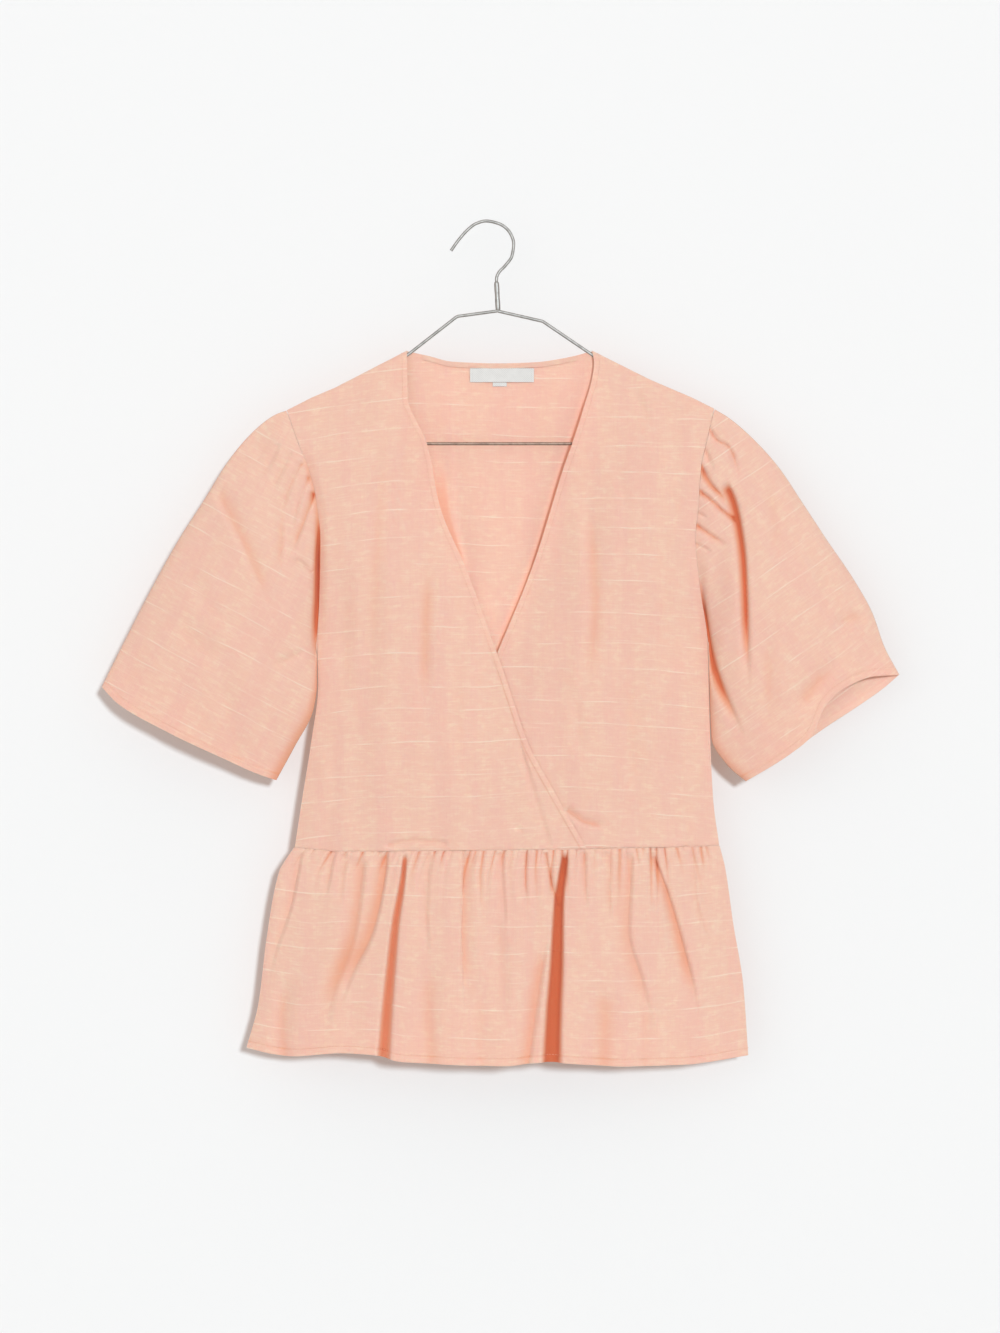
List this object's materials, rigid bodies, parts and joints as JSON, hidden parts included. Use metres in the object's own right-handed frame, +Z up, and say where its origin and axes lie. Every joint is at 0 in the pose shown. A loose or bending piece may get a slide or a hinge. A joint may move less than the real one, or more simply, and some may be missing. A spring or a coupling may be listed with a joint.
{
  "type": "peplum top on a wire hanger",
  "caption": "Wrap-front V-neck peplum top with gathered short puff sleeves, hung nearly flat on a bare wire hanger.",
  "frame": {"origin": "inside of the hook's crown, where a nail or rod bears", "axes": "+Z up, -Y out of the front of the top, +X to the right of a viewer who faces the front"},
  "size_m": [0.7183, 0.0486, 0.76],
  "materials": {
    "cotton": "peach slub cotton, matt",
    "label": "white woven label, blank",
    "wire": "bare steel wire"
  },
  "bodies": {
    "root": {"front_over": "cotton", "front_under": "cotton", "back": "cotton", "sleeve_left": "cotton", "sleeve_right": "cotton", "peplum_front": "cotton", "peplum_back": "cotton", "back_neck_binding": "cotton", "neck_label": "label", "label_tab": "label", "hanger_hook": "wire", "hanger_neck": "wire", "hanger_arm_left": "wire", "hanger_arm_right": "wire", "hanger_bar": "wire"}
  },
  "joints": []
}
